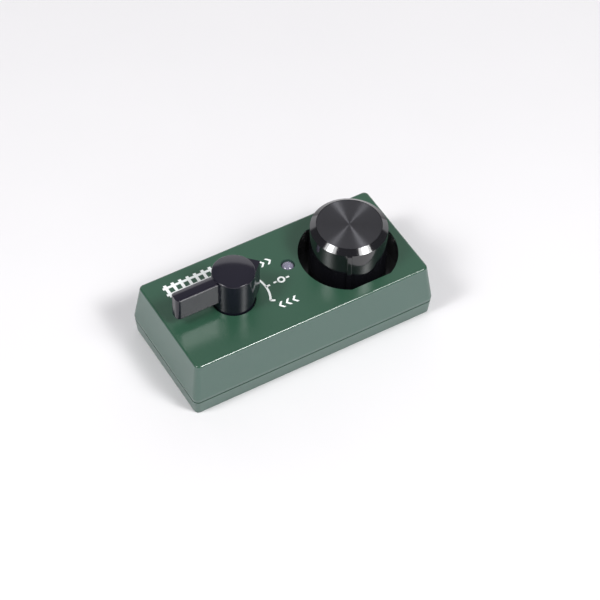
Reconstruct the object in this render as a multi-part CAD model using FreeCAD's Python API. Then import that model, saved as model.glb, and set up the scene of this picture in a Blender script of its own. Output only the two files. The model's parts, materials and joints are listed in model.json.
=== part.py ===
"""Hand-held speed and direction controller for a small battery-powered model railway.

A two-part moulded case carries a direction lever on the left, a speed knob sunk in a well on the right
and a status light between them.  Inside are a nine volt block battery, a circuit board whose copper arcs
form the direction switch, a rotary potentiometer and a two-pole track outlet in the back wall.

Frame: millimetres, +Z up, +X along the case towards the speed knob, +Y towards the back wall.  The origin
is the centre of the case's flat underside.
"""
import FreeCAD
import Part
import math
import os

V = FreeCAD.Vector
UP = V(0, 0, 1)

# ---------------------------------------------------------------- driving dimensions
# case outline: underside, split line, widest line and top face
TOP_LENGTH, TOP_WIDTH, TOP_CORNER = 101.0, 46.2, 2.0
WIDE_LENGTH, WIDE_WIDTH, WIDE_CORNER = 105.2, 50.4, 2.5
SPLIT_LENGTH, SPLIT_WIDTH, SPLIT_CORNER = 104.9, 50.1, 2.4
BASE_LENGTH, BASE_WIDTH, BASE_CORNER = 103.6, 48.8, 2.0
TOP_Z, WIDE_Z = 25.0, 8.6
UPPER_SPLIT_Z, LOWER_SPLIT_Z = 7.1, 6.65
WALL, TOP_WALL, FLOOR = 2.0, 2.0, 2.0
TOP_EDGE_RADIUS, BASE_EDGE_RADIUS = 0.8, 0.6
TOP_UNDER_Z = TOP_Z - TOP_WALL

# tongue of the lower shell that slides inside the upper one
TONGUE_LENGTH, TONGUE_WIDTH, TONGUE_HEIGHT, TONGUE_WALL = 100.8, 46.0, 1.5, 1.0
CAVITY_LENGTH = TONGUE_LENGTH - 2 * TONGUE_WALL
CAVITY_WIDTH = TONGUE_WIDTH - 2 * TONGUE_WALL

# the lever stands on the case's centre line and the knob a little in front of it
LEVER_X, LEVER_Y = -22.0, 0.0
KNOB_X, KNOB_Y = 27.8, -0.9
CONTROL_TOP_Z = 40.6

# speed knob and its well
KNOB_RADIUS, KNOB_SKIRT_RADIUS = 14.95, 15.15
KNOB_BEVEL_WIDTH, KNOB_BEVEL_DROP = 2.25, 1.7
KNOB_BOTTOM_Z, KNOB_WALL, KNOB_ROOF = 13.9, 2.0, 2.6
KNOB_BOSS_RADIUS, KNOB_BOSS_BOTTOM_Z = 5.5, 18.2
CAP_RADIUS, CAP_THICKNESS = KNOB_RADIUS - KNOB_BEVEL_WIDTH - 0.1, 0.7
POINTER_ANGLE, POINTER_WIDTH, POINTER_PROUD = -120.0, 1.9, 0.5
WELL_RADIUS, WELL_HALF_FLAT, WELL_WALL = 19.4, 17.4, 1.2
WELL_FLOOR_Z, WELL_FLOOR = 13.0, 1.5
WELL_LIP = 0.6
WELL_EAR_RADIUS, WELL_EAR_REACH = 3.0, 24.0
EAR_ANGLES = (135.0, 225.0)

# potentiometer
SHAFT_RADIUS, SHAFT_TOP_Z, SHAFT_FLAT = 3.0, 32.0, 1.5
BUSHING_RADIUS, BUSHING_TOP_Z = 3.5, 17.5
POT_RADIUS, POT_BOTTOM_Z, POT_TOP_Z = 8.0, 3.6, WELL_FLOOR_Z - WELL_FLOOR
NUT_ACROSS_FLATS, NUT_HEIGHT, WASHER_HEIGHT = 10.0, 2.0, 0.5
WAFER_TOP_Z, WAFER_THICKNESS = POT_TOP_Z - 1.15, 1.1
POT_TAG_Z = WAFER_TOP_Z - WAFER_THICKNESS - 0.3

# direction lever
HUB_RADIUS, FOOT_RADIUS, HUB_WALL = 8.3, 8.1, 1.6
HUB_RIM_RADIUS, HUB_CROWN = 0.5, 1.4
ARM_REACH, ARM_THICKNESS, ARM_BOTTOM_Z, ARM_TOP_Z = 25.4, 5.2, 29.4, 40.2
ARM_CORNER_RADIUS, ARM_CROWN, ARM_EDGE_RADIUS = 1.8, 0.8, 0.3
BEAK_REACH, BEAK_BOTTOM_Z = 11.4, 25.5
LEVER_HOLE_RADIUS, LEVER_HOLE_CHAMFER = 8.35, 0.3
LEVER_TRAVEL = 30.0

# direction switch
ROTOR_RADIUS, ROTOR_TOP_Z, ROTOR_THICKNESS = 10.6, TOP_UNDER_Z - 0.15, 1.25
ROTOR_BOTTOM_Z = ROTOR_TOP_Z - ROTOR_THICKNESS
WIPER_TRACKS = (6.2, 8.6)
WIPER_WIDTH, WIPER_THICKNESS, WIPER_HALF_ANGLE = 1.4, 0.25, 26.0
DETENT_NOTCH_RADIUS, DETENT_NOSE_RADIUS, DETENT_GAP = 0.9, 0.8, 0.12
DETENT_PEG_RADIUS, DETENT_PEG_OFFSET = 0.8, 2.9

# circuit board
BOARD_X = (-42.4, 6.8)
BOARD_HALF_WIDTH = 20.5
BOARD_TOP_Z, BOARD_THICKNESS = 20.9, 1.2
BOARD_BOTTOM_Z = BOARD_TOP_Z - BOARD_THICKNESS
PAD_THICKNESS = 0.05
BOARD_SCREWS = ((-28.9, 16.8), (-33.0, -16.8), (-3.0, 16.8))

# status light
LED_X, LED_Y, LED_RADIUS, LED_HOLE_RADIUS = 4.3, 4.7, 2.4, 2.75
LED_TOP_Z = 25.3

# battery and its bay
BATTERY_X = (-47.6, -1.2)
BATTERY_WIDTH, BATTERY_HEIGHT = 26.5, 17.5
BATTERY_BOTTOM_Z = 2.0
BATTERY_AXIS_Z = BATTERY_BOTTOM_Z + BATTERY_HEIGHT / 2
STUD_SPACING, STUD_HEIGHT, SNAP_THICKNESS = 12.7, 2.1, 2.4
BAY_X, BAY_HALF_WIDTH, BAY_WALL, BAY_WALL_TOP_Z = (-48.2, 4.6), 13.65, 1.1, 14.0
DOOR_GAP, DOOR_THICKNESS, DOOR_BOTTOM_Z = 0.3, 1.6, 0.15
HOOK_YS, HOOK_HALF_WIDTH = (-8.0, 8.0), 2.0

# track outlet in the back wall
OUTLET_X, OUTLET_Z = -36.4, 13.2
OUTLET_LENGTH, OUTLET_HEIGHT = 12.0, 7.0
OUTLET_MOUTH_LENGTH, OUTLET_MOUTH_HEIGHT, OUTLET_MOUTH_DEPTH = 9.4, 4.7, 6.5
OUTLET_BACK_Y, OUTLET_FACE_INSET, OUTLET_POLE_X = 16.2, 0.25, 2.6

# components under the board
TRANSISTOR_X, TRANSISTOR_Y, TRANSISTOR_TOP_Z = -15.0, 17.6, BOARD_BOTTOM_Z - 2.0
TRANSISTOR_HALF_WIDTH, TRANSISTOR_LEG_PITCH = 5.1, 2.5
CAPACITOR_X, CAPACITOR_Y, CAPACITOR_RADIUS = -23.6, 18.0, 2.9
CAPACITOR_TOP_Z, CAPACITOR_LENGTH = BOARD_BOTTOM_Z - 0.5, 11.0
FUSE_X, FUSE_Y, FUSE_RADIUS, FUSE_THICKNESS, FUSE_DROP = -8.0, -18.0, 3.6, 2.8, 5.2
RESISTOR_Y, RESISTOR_PITCH, RESISTOR_RADIUS, RESISTOR_LENGTH = -18.0, 5.6, 1.15, 6.3
RESISTOR_XS = [-27.0 + RESISTOR_PITCH * k for k in range(3)]
RESISTOR_TOP_Z = BOARD_BOTTOM_Z - 1.3
RESISTOR_BOTTOM_Z = RESISTOR_TOP_Z - RESISTOR_LENGTH
LEG_RADIUS, RESISTOR_LEG_SPAN = 0.3, 2.2

# fasteners and leads
CASE_SCREWS = [(sx * 46.4, sy * 18.8) for sx in (-1, 1) for sy in (-1, 1)]
CASE_SCREW_SEAT_Z, CASE_SCREW_TIP_Z, COUNTERBORE_RADIUS = 3.0, 16.0, 2.8
BOSS_RADIUS, SCREW_RADIUS, SMALL_SCREW_RADIUS, SCREW_FIT = 2.9, 1.3, 0.95, 0.02
ROTOR_SCREW_RADIUS = 1.1
LEAD_RADIUS = 0.6


# ---------------------------------------------------------------- shape helpers
def rounded_rect(length, width, radius, z, x=0.0, y=0.0):
    """A closed wire in a horizontal plane: a rectangle with round corners."""
    a, b, r = length / 2, width / 2, radius
    edges = []
    for sx, sy, start in ((1, 1, 0), (-1, 1, 90), (-1, -1, 180), (1, -1, 270)):
        cx, cy = x + sx * (a - r), y + sy * (b - r)
        ends = [math.radians(start + k * 45) for k in range(3)]
        p = [V(cx + r * math.cos(t), cy + r * math.sin(t), z) for t in ends]
        if edges:
            edges.append(Part.LineSegment(last, p[0]).toShape())
        else:
            first = p[0]
        edges.append(Part.Arc(*p).toShape())
        last = p[2]
    edges.append(Part.LineSegment(last, first).toShape())
    return Part.Wire(edges)


def loft(*wires):
    """A solid with flat ruled sides through the wires, in order."""
    return Part.makeLoft(list(wires), True, True)


def cylinder(radius, z0, z1, x=0.0, y=0.0):
    return Part.makeCylinder(radius, z1 - z0, V(x, y, z0), UP)


def ring(outer, inner, z0, z1, x=0.0, y=0.0):
    return cylinder(outer, z0, z1, x, y).cut(cylinder(inner, z0 - 1, z1 + 1, x, y))


def box(x, y, z):
    """An axis-aligned block from three (low, high) pairs."""
    return Part.makeBox(x[1] - x[0], y[1] - y[0], z[1] - z[0], V(x[0], y[0], z[0]))


def revolve(profile, x=0.0, y=0.0):
    """Turns a closed list of (radius, z) corners about the vertical line through x, y."""
    points = [V(r, 0, z) for r, z in profile]
    solid = Part.Face(Part.makePolygon(points + points[:1])).revolve(V(0, 0, 0), UP, 360)
    solid.translate(V(x, y, 0))
    return solid


def fuse(shapes):
    shapes = list(shapes)
    return shapes[0].multiFuse(shapes[1:]).removeSplitter() if len(shapes) > 1 else shapes[0]


def turned(shape, angle, x, y):
    """A copy turned about the vertical line through x, y."""
    copy = shape.copy()
    copy.rotate(V(x, y, 0), UP, angle)
    return copy


def edges_at(shape, z, tolerance=1e-4):
    """The edges that lie in the horizontal plane at z."""
    return [e for e in shape.Edges
            if abs(e.BoundBox.ZMin - z) < tolerance and abs(e.BoundBox.ZMax - z) < tolerance]


def extrude(wire, height):
    return Part.Face(wire).extrude(V(0, 0, height))


def flatted_cylinder(radius, half_flat, z0, z1):
    """The well's plan: a circle cut by a flat in front and a flat behind."""
    round_part = cylinder(radius, z0, z1, KNOB_X, KNOB_Y)
    return round_part.common(box((KNOB_X - 2 * radius, KNOB_X + 2 * radius),
                                 (KNOB_Y - half_flat, KNOB_Y + half_flat), (z0, z1)))


def lead(points, radius=LEAD_RADIUS):
    """A round lead along straight runs joined by tangent arcs."""
    pts = [V(*p) for p in points]
    edges = []
    start = pts[0]
    for before, corner, after in zip(pts, pts[1:], pts[2:]):
        back, ahead = (before - corner), (after - corner)
        run = min(back.Length, ahead.Length)
        back.normalize()
        ahead.normalize()
        half_turn = (math.pi - back.getAngle(ahead)) / 2
        bend = 0.45 * run / math.tan(half_turn)
        reach = bend * math.tan(half_turn)
        middle = (back + ahead).normalize() * (bend / math.cos(half_turn) - bend)
        enter, leave = corner + back * reach, corner + ahead * reach
        edges.append(Part.LineSegment(start, enter).toShape())
        edges.append(Part.Arc(enter, corner + middle, leave).toShape())
        start = leave
    edges.append(Part.LineSegment(start, pts[-1]).toShape())
    path = Part.Wire(edges)
    section = Part.Wire(Part.makeCircle(radius, pts[0], pts[1] - pts[0]))
    return path.makePipeShell([section], True, True)


def pan_screw(x, y, head_z, tip_z, head_radius, head_height, radius=SCREW_RADIUS):
    """A self-tapping pan-head screw driven upwards, with a cross recess in its head."""
    shank = cylinder(radius, head_z, tip_z - radius, x, y)
    point = Part.makeCone(radius, 0.2, radius, V(x, y, tip_z - radius), UP)
    head = cylinder(head_radius, head_z - head_height, head_z, x, y)
    head = head.makeFillet(head_height * 0.45, edges_at(head, head_z - head_height))
    arm, slot, depth = head_radius * 0.55, head_radius * 0.16, head_height * 0.6
    low = head_z - head_height - 0.1
    cross = fuse([box((x - arm, x + arm), (y - slot, y + slot), (low, low + depth)),
                  box((x - slot, x + slot), (y - arm, y + arm), (low, low + depth))])
    return fuse([shank, point, head]).cut(cross)


# ---------------------------------------------------------------- case
def outer_width(z):
    """Outside width of the upper shell at a height above its widest line."""
    return WIDE_WIDTH + (TOP_WIDTH - WIDE_WIDTH) * (z - WIDE_Z) / (TOP_Z - WIDE_Z)


def outer_length(z):
    return WIDE_LENGTH + (TOP_LENGTH - WIDE_LENGTH) * (z - WIDE_Z) / (TOP_Z - WIDE_Z)


def upper_case():
    outside = loft(rounded_rect(SPLIT_LENGTH, SPLIT_WIDTH, SPLIT_CORNER, UPPER_SPLIT_Z),
                   rounded_rect(WIDE_LENGTH, WIDE_WIDTH, WIDE_CORNER, WIDE_Z),
                   rounded_rect(TOP_LENGTH, TOP_WIDTH, TOP_CORNER, TOP_Z))
    outside = outside.makeFillet(TOP_EDGE_RADIUS, edges_at(outside, TOP_Z))
    mouth_length, mouth_width = WIDE_LENGTH - 2 * WALL, WIDE_WIDTH - 2 * WALL
    inside = loft(rounded_rect(mouth_length, mouth_width, 1.2, UPPER_SPLIT_Z - 1),
                  rounded_rect(mouth_length, mouth_width, 1.2, WIDE_Z),
                  rounded_rect(outer_length(TOP_UNDER_Z) - 2 * WALL,
                               outer_width(TOP_UNDER_Z) - 2 * WALL, 1.0, TOP_UNDER_Z))
    shell = outside.cut(inside)

    added = [cylinder(BOSS_RADIUS, 9.2, TOP_UNDER_Z + 0.5, x, y) for x, y in CASE_SCREWS]
    added += [cylinder(2.2, BOARD_TOP_Z + 0.05, TOP_UNDER_Z + 0.5, x, y) for x, y in BOARD_SCREWS]
    added += [cylinder(2.4, WELL_FLOOR_Z + 0.05, TOP_UNDER_Z + 0.5, x, y) for x, y in ear_places()]
    added += [cylinder(DETENT_PEG_RADIUS, ROTOR_BOTTOM_Z, TOP_UNDER_Z + 0.5, x, y)
              for x, y in detent_pegs()]
    shell = fuse([shell] + added)

    small_pilot = SMALL_SCREW_RADIUS + SCREW_FIT
    holes = [cylinder(SCREW_RADIUS + SCREW_FIT, 9.0, 20.5, x, y) for x, y in CASE_SCREWS]
    holes += [cylinder(small_pilot, BOARD_TOP_Z - 1, TOP_UNDER_Z + 0.6, x, y) for x, y in BOARD_SCREWS]
    holes += [cylinder(small_pilot, WELL_FLOOR_Z - 1, 19.5, x, y) for x, y in ear_places()]
    # the well's mouth has a thin lip at the surface and a rebate below it for the liner's rim
    holes.append(flatted_cylinder(WELL_RADIUS, WELL_HALF_FLAT, TOP_UNDER_Z - 1, TOP_Z + 1))
    holes.append(flatted_cylinder(WELL_RADIUS + WELL_WALL + 0.08, WELL_HALF_FLAT + WELL_WALL + 0.08,
                                  TOP_UNDER_Z - 1, TOP_Z - WELL_LIP))
    holes.append(cylinder(LEVER_HOLE_RADIUS, TOP_UNDER_Z - 1, TOP_Z + 1, LEVER_X, LEVER_Y))
    holes.append(Part.makeCone(LEVER_HOLE_RADIUS, LEVER_HOLE_RADIUS + 2 * LEVER_HOLE_CHAMFER,
                               2 * LEVER_HOLE_CHAMFER, V(LEVER_X, LEVER_Y, TOP_Z - LEVER_HOLE_CHAMFER), UP))
    holes.append(cylinder(LED_HOLE_RADIUS, TOP_UNDER_Z - 1, TOP_Z + 1, LED_X, LED_Y))
    holes.append(outlet_window(0.1))
    return shell.cut(Part.makeCompound(holes))


def outlet_window(gap):
    return box((OUTLET_X - OUTLET_LENGTH / 2 - gap, OUTLET_X + OUTLET_LENGTH / 2 + gap),
               (21.0, 30.0),
               (OUTLET_Z - OUTLET_HEIGHT / 2 - gap, OUTLET_Z + OUTLET_HEIGHT / 2 + gap))


def lower_case():
    outside = loft(rounded_rect(BASE_LENGTH, BASE_WIDTH, BASE_CORNER, 0.0),
                   rounded_rect(SPLIT_LENGTH, SPLIT_WIDTH, SPLIT_CORNER, LOWER_SPLIT_Z))
    outside = outside.makeFillet(BASE_EDGE_RADIUS, edges_at(outside, 0.0))
    tongue_top = LOWER_SPLIT_Z + TONGUE_HEIGHT
    tongue = extrude(rounded_rect(TONGUE_LENGTH, TONGUE_WIDTH, 1.0, LOWER_SPLIT_Z - 0.5),
                     TONGUE_HEIGHT + 0.5)
    cavity = extrude(rounded_rect(CAVITY_LENGTH, CAVITY_WIDTH, 0.8, FLOOR), tongue_top)
    tray = fuse([outside, tongue]).cut(cavity)

    wall_y = (BAY_HALF_WIDTH, BAY_HALF_WIDTH + BAY_WALL)
    added = [box(BAY_X, wall_y, (FLOOR - 0.5, BAY_WALL_TOP_Z)),
             box(BAY_X, (-wall_y[1], -wall_y[0]), (FLOOR - 0.5, BAY_WALL_TOP_Z))]
    # screw pillars meet the upper bosses, and two ribs carry the well's floor
    added += [cylinder(BOSS_RADIUS, FLOOR - 0.5, 9.1, x, y) for x, y in CASE_SCREWS]
    for angle in (-60.0, 60.0):
        rib = box((KNOB_X + 10.5, KNOB_X + 15.0), (KNOB_Y - 0.6, KNOB_Y + 0.6),
                  (FLOOR - 0.5, POT_TOP_Z - 0.1))
        added.append(turned(rib, angle, KNOB_X, KNOB_Y))
    tray = fuse([tray] + added)

    holes = [box(BAY_X, (-BAY_HALF_WIDTH, BAY_HALF_WIDTH), (-1, FLOOR + 1))]
    holes += [cylinder(SCREW_RADIUS + 0.2, -1, 10, x, y) for x, y in CASE_SCREWS]
    holes += [cylinder(COUNTERBORE_RADIUS, -1, CASE_SCREW_SEAT_Z, x, y) for x, y in CASE_SCREWS]
    # a thumb scoop beside the door's latch
    holes.append(Part.makeCylinder(2.6, 11.0, V(BAY_X[0] - 0.4, -5.5, -1.6), V(0, 1, 0)))
    return tray.cut(Part.makeCompound(holes))


def case_screws():
    return [pan_screw(x, y, CASE_SCREW_SEAT_Z, CASE_SCREW_TIP_Z, 2.6, 1.9) for x, y in CASE_SCREWS]


# ---------------------------------------------------------------- battery bay
def battery_door():
    """The bay's cover: a plate with two hooks over the floor at one end and a sprung latch at the other."""
    x = (BAY_X[0] + DOOR_GAP, BAY_X[1] - DOOR_GAP)
    half = BAY_HALF_WIDTH - DOOR_GAP
    top = DOOR_BOTTOM_Z + DOOR_THICKNESS
    plate = box(x, (-half, half), (DOOR_BOTTOM_Z, top))
    plate = plate.makeFillet(0.35, edges_at(plate, DOOR_BOTTOM_Z))
    hooks = []
    for y in HOOK_YS:
        width = (y - HOOK_HALF_WIDTH, y + HOOK_HALF_WIDTH)
        hooks.append(box((x[1] - 1.6, x[1]), width, (top - 0.3, FLOOR + 1.0)))
        hooks.append(box((x[1] - 1.6, BAY_X[1] + 2.0), width, (FLOOR + 0.15, FLOOR + 1.0)))
    latch = box((x[0] - 0.1, x[0] + 0.9), (-5.0, 5.0), (top - 0.45, top + 0.2))
    grips = [x[0] + 4.0 + 1.8 * k for k in range(5)]
    grooves = [box((g, g + 0.9), (-5.5, 5.5), (DOOR_BOTTOM_Z - 1, DOOR_BOTTOM_Z + 0.4)) for g in grips]
    relief = [box((x[0] - 1, x[0] + 13.0), (side * 6.6 - 0.35, side * 6.6 + 0.35), (-1, 5))
              for side in (-1, 1)]
    return fuse([plate, latch] + hooks).cut(Part.makeCompound(grooves + relief))


def battery():
    length = BATTERY_X[1] - BATTERY_X[0]
    block = box(BATTERY_X, (-BATTERY_WIDTH / 2, BATTERY_WIDTH / 2),
                (BATTERY_BOTTOM_Z, BATTERY_BOTTOM_Z + BATTERY_HEIGHT))
    along = [e for e in block.Edges if abs(e.Length - length) < 1e-6]
    return block.makeFillet(1.8, along)


def along_x(shape):
    """Turns a shape made standing on Z so that its top points along +X, at the battery's terminal face."""
    copy = shape.copy()
    copy.rotate(V(0, 0, 0), V(0, 1, 0), 90)
    copy.translate(V(BATTERY_X[1], 0, BATTERY_AXIS_Z))
    return copy


def stud_places():
    """Terminal centres, as they are before the turn onto the battery's end face."""
    return (0.0, STUD_SPACING / 2), (0.0, -STUD_SPACING / 2)


def battery_terminals():
    (px, py), (nx, ny) = stud_places()
    plus = revolve([(0, 0), (3.6, 0), (3.6, 0.3), (2.5, 0.3), (2.9, 1.5), (2.6, STUD_HEIGHT),
                    (0, STUD_HEIGHT)], px, py)
    minus = revolve([(0, 0), (4.2, 0), (4.2, 0.3), (3.9, STUD_HEIGHT), (3.4, STUD_HEIGHT), (3.4, 0.6),
                     (0, 0.6)], nx, ny)
    return [along_x(plus), along_x(minus)]


def battery_snap():
    plate = extrude(rounded_rect(11.6, 24.6, 4.0, STUD_HEIGHT + 0.1), SNAP_THICKNESS)
    return along_x(plate)


def snap_contacts():
    (px, py), (nx, ny) = stud_places()
    socket = ring(4.3, 3.0, 0.4, STUD_HEIGHT + 0.1, px, py)
    plug = revolve([(0, 0.7), (2.7, 0.7), (3.2, 1.4), (2.9, STUD_HEIGHT + 0.1), (0, STUD_HEIGHT + 0.1)],
                   nx, ny)
    return [along_x(socket), along_x(plug)]


# ---------------------------------------------------------------- speed control
def ear_places():
    return [(KNOB_X + WELL_EAR_REACH * math.cos(math.radians(a)),
             KNOB_Y + WELL_EAR_REACH * math.sin(math.radians(a))) for a in EAR_ANGLES]


def knob_well():
    rim_z, under_z = TOP_Z - WELL_LIP - 0.05, WELL_FLOOR_Z - WELL_FLOOR
    outside = flatted_cylinder(WELL_RADIUS + WELL_WALL, WELL_HALF_FLAT + WELL_WALL, under_z, rim_z)
    ears = []
    for x, y in ear_places():
        tab = cylinder(WELL_EAR_RADIUS, under_z, WELL_FLOOR_Z, x, y)
        bridge = box((KNOB_X + 17.5, KNOB_X + WELL_EAR_REACH), (KNOB_Y - 3.0, KNOB_Y + 3.0),
                     (under_z, WELL_FLOOR_Z))
        angle = math.degrees(math.atan2(y - KNOB_Y, x - KNOB_X))
        ears += [tab, turned(bridge, angle, KNOB_X, KNOB_Y)]
    inside = flatted_cylinder(WELL_RADIUS, WELL_HALF_FLAT, WELL_FLOOR_Z, TOP_Z + 1)
    cup = fuse([outside] + ears).cut(inside)
    cup = cup.cut(cylinder(BUSHING_RADIUS + 0.1, under_z - 1, WELL_FLOOR_Z + 1, KNOB_X, KNOB_Y))
    key = box((KNOB_X + 6.4, KNOB_X + 7.7), (KNOB_Y - 1.5, KNOB_Y + 1.5), (under_z - 1, under_z + 1))
    pegs = [cylinder(1.05, under_z - 1, WELL_FLOOR_Z + 1, x, y) for x, y in ear_places()]
    return cup.cut(Part.makeCompound([key] + pegs))


def well_screws():
    under_z = WELL_FLOOR_Z - WELL_FLOOR
    return [pan_screw(x, y, under_z, 18.8, 2.0, 1.3, SMALL_SCREW_RADIUS) for x, y in ear_places()]


def knob_body():
    bevel_z = CONTROL_TOP_Z - KNOB_BEVEL_DROP
    face = KNOB_RADIUS - KNOB_BEVEL_WIDTH
    seat_z = CONTROL_TOP_Z - CAP_THICKNESS
    outside = revolve([(0, KNOB_BOTTOM_Z), (KNOB_SKIRT_RADIUS - 0.3, KNOB_BOTTOM_Z),
                       (KNOB_SKIRT_RADIUS, KNOB_BOTTOM_Z + 0.3), (KNOB_RADIUS, bevel_z),
                       (face, CONTROL_TOP_Z), (face, seat_z), (0, seat_z)], KNOB_X, KNOB_Y)
    inner = KNOB_RADIUS - KNOB_WALL
    roof_z = seat_z - KNOB_ROOF
    hollow = cylinder(inner, KNOB_BOTTOM_Z - 1, roof_z, KNOB_X, KNOB_Y).cut(
        cylinder(KNOB_BOSS_RADIUS, KNOB_BOSS_BOTTOM_Z, roof_z + 1, KNOB_X, KNOB_Y))
    body = outside.cut(hollow)
    web = box((KNOB_X + 5.0, KNOB_X + inner + 0.5), (KNOB_Y - 0.6, KNOB_Y + 0.6), (22.0, roof_z + 0.5))
    webs = [turned(web, angle, KNOB_X, KNOB_Y) for angle in (0, 90, 180, 270)]
    bore = shaft_bar(SHAFT_RADIUS + 0.03, KNOB_BOSS_BOTTOM_Z - 1, SHAFT_TOP_Z + 0.5, SHAFT_FLAT + 0.03)
    return fuse([body, knob_pointer()] + webs).cut(bore)


def knob_pointer():
    """The upright rib on the knob's side that shows where it is set."""
    top = CONTROL_TOP_Z - KNOB_BEVEL_DROP - 0.1
    rib = box((KNOB_X + KNOB_RADIUS - 1.2, KNOB_X + KNOB_SKIRT_RADIUS + POINTER_PROUD),
              (KNOB_Y - POINTER_WIDTH / 2, KNOB_Y + POINTER_WIDTH / 2), (KNOB_BOTTOM_Z, top))
    tip_edges = [e for e in rib.Edges
                 if abs(e.Length - (top - KNOB_BOTTOM_Z)) < 1e-6 and e.BoundBox.XMin > KNOB_X + KNOB_RADIUS]
    return turned(rib.makeFillet(0.3, tip_edges), POINTER_ANGLE, KNOB_X, KNOB_Y)


def knob_cap():
    disc = cylinder(CAP_RADIUS, CONTROL_TOP_Z - CAP_THICKNESS, CONTROL_TOP_Z, KNOB_X, KNOB_Y)
    return disc.makeChamfer(0.12, edges_at(disc, CONTROL_TOP_Z))


def knob_spring_ring():
    """A split steel ring that grips the knob's boss onto the shaft."""
    hoop = ring(KNOB_BOSS_RADIUS + 0.65, KNOB_BOSS_RADIUS + 0.02, 18.0, 20.0, KNOB_X, KNOB_Y)
    return hoop.cut(box((KNOB_X, KNOB_X + 8), (KNOB_Y - 0.8, KNOB_Y + 0.8), (17, 21)))


def shaft_bar(radius, z0, z1, flat):
    """A round bar with one flat, the D that turns the knob."""
    bar = cylinder(radius, z0, z1, KNOB_X, KNOB_Y)
    return bar.cut(box((KNOB_X + flat, KNOB_X + 9), (KNOB_Y - 9, KNOB_Y + 9), (z0 - 1, z1 + 1)))


def pot_shaft():
    lower = cylinder(SHAFT_RADIUS, POT_BOTTOM_Z + 0.9, BUSHING_TOP_Z + 0.3, KNOB_X, KNOB_Y)
    tip = shaft_bar(SHAFT_RADIUS, BUSHING_TOP_Z + 0.3, SHAFT_TOP_Z, SHAFT_FLAT)
    return fuse([lower, tip])


def pot_bushing():
    flange_z = POT_TOP_Z - 0.05
    flange = cylinder(POT_RADIUS, flange_z - 1.0, flange_z, KNOB_X, KNOB_Y)
    sleeve = cylinder(BUSHING_RADIUS, flange_z - 0.5, BUSHING_TOP_Z, KNOB_X, KNOB_Y)
    sleeve = sleeve.makeChamfer(0.35, edges_at(sleeve, BUSHING_TOP_Z))
    grooves = [ring(BUSHING_RADIUS + 1, BUSHING_RADIUS - 0.18, z, z + 0.3, KNOB_X, KNOB_Y)
               for z in (15.8, 16.35, 16.9)]
    key = box((KNOB_X + 6.55, KNOB_X + 7.55), (KNOB_Y - 1.35, KNOB_Y + 1.35),
              (flange_z - 0.5, flange_z + 0.9))
    body = fuse([flange, sleeve, key]).cut(Part.makeCompound(grooves))
    return body.cut(cylinder(SHAFT_RADIUS + 0.04, flange_z - 3, BUSHING_TOP_Z + 1, KNOB_X, KNOB_Y))


def pot_washer():
    return ring(6.2, BUSHING_RADIUS + 0.1, WELL_FLOOR_Z, WELL_FLOOR_Z + WASHER_HEIGHT, KNOB_X, KNOB_Y)


def pot_nut():
    low = WELL_FLOOR_Z + WASHER_HEIGHT
    circum = NUT_ACROSS_FLATS / math.sqrt(3)
    corners = [V(KNOB_X + circum * math.cos(math.radians(60 * k)),
                 KNOB_Y + circum * math.sin(math.radians(60 * k)), low) for k in range(7)]
    hexagon = extrude(Part.makePolygon(corners), NUT_HEIGHT)
    dome = revolve([(0, low), (circum, low), (circum, low + NUT_HEIGHT - 0.5),
                    (circum - 0.9, low + NUT_HEIGHT), (0, low + NUT_HEIGHT)], KNOB_X, KNOB_Y)
    return hexagon.common(dome).cut(cylinder(BUSHING_RADIUS + 0.02, low - 1, low + 3, KNOB_X, KNOB_Y))


def pot_can():
    """The steel can: a cup under the flange, cut away on the side where the terminals leave."""
    top = POT_TOP_Z - 1.1
    cup = cylinder(POT_RADIUS, POT_BOTTOM_Z, top, KNOB_X, KNOB_Y)
    cup = cup.makeFillet(0.6, edges_at(cup, POT_BOTTOM_Z))
    cup = cup.cut(cylinder(POT_RADIUS - 0.4, POT_BOTTOM_Z + 0.4, top + 1, KNOB_X, KNOB_Y))
    return cup.cut(box((KNOB_X - 9, KNOB_X - 4), (KNOB_Y - 6.6, KNOB_Y + 6.6), (top - 1.4, top + 1)))


def pot_wafer():
    """The insulating disc that carries the resistive track, with a tail for the terminals."""
    z = (WAFER_TOP_Z - WAFER_THICKNESS, WAFER_TOP_Z)
    disc = cylinder(POT_RADIUS - 0.5, *z, KNOB_X, KNOB_Y)
    tail = box((KNOB_X - 11.0, KNOB_X - 2.0), (KNOB_Y - 6.4, KNOB_Y + 6.4), z)
    return fuse([disc, tail]).cut(cylinder(SHAFT_RADIUS + 0.3, z[0] - 1, z[1] + 1, KNOB_X, KNOB_Y))


def pot_track():
    """The printed resistive track, a 300 degree arc on the wafer's underside."""
    low = WAFER_TOP_Z - WAFER_THICKNESS - 0.1
    track = ring(6.6, 5.2, low, low + 0.1, KNOB_X, KNOB_Y)
    gap = box((KNOB_X - 9, KNOB_X - 4.5), (KNOB_Y - 1.6, KNOB_Y + 1.6), (low - 1, low + 1))
    return track.cut(gap)


def pot_terminals():
    found = []
    for k in (-1, 0, 1):
        y = KNOB_Y + 5.0 * k
        tag = box((KNOB_X - 13.6, KNOB_X - 8.6), (y - 1.0, y + 1.0), (POT_TAG_Z, POT_TAG_Z + 0.3))
        found.append(tag.cut(cylinder(0.4, POT_TAG_Z - 1, POT_TAG_Z + 1, KNOB_X - 12.6, y)))
    return found


def pot_wiper():
    """The moulded carrier pressed on the shaft, with its contact finger under the track."""
    carrier = ring(5.0, SHAFT_RADIUS + 0.02, 5.2, 7.4, KNOB_X, KNOB_Y)
    arm = box((KNOB_X + 3.8, KNOB_X + 6.4), (KNOB_Y - 1.5, KNOB_Y + 1.5), (6.6, 7.3))
    tip = cylinder(0.5, 6.8, 9.0, KNOB_X + 5.9, KNOB_Y)
    return turned(fuse([carrier, arm, tip]), POINTER_ANGLE, KNOB_X, KNOB_Y)


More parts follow.
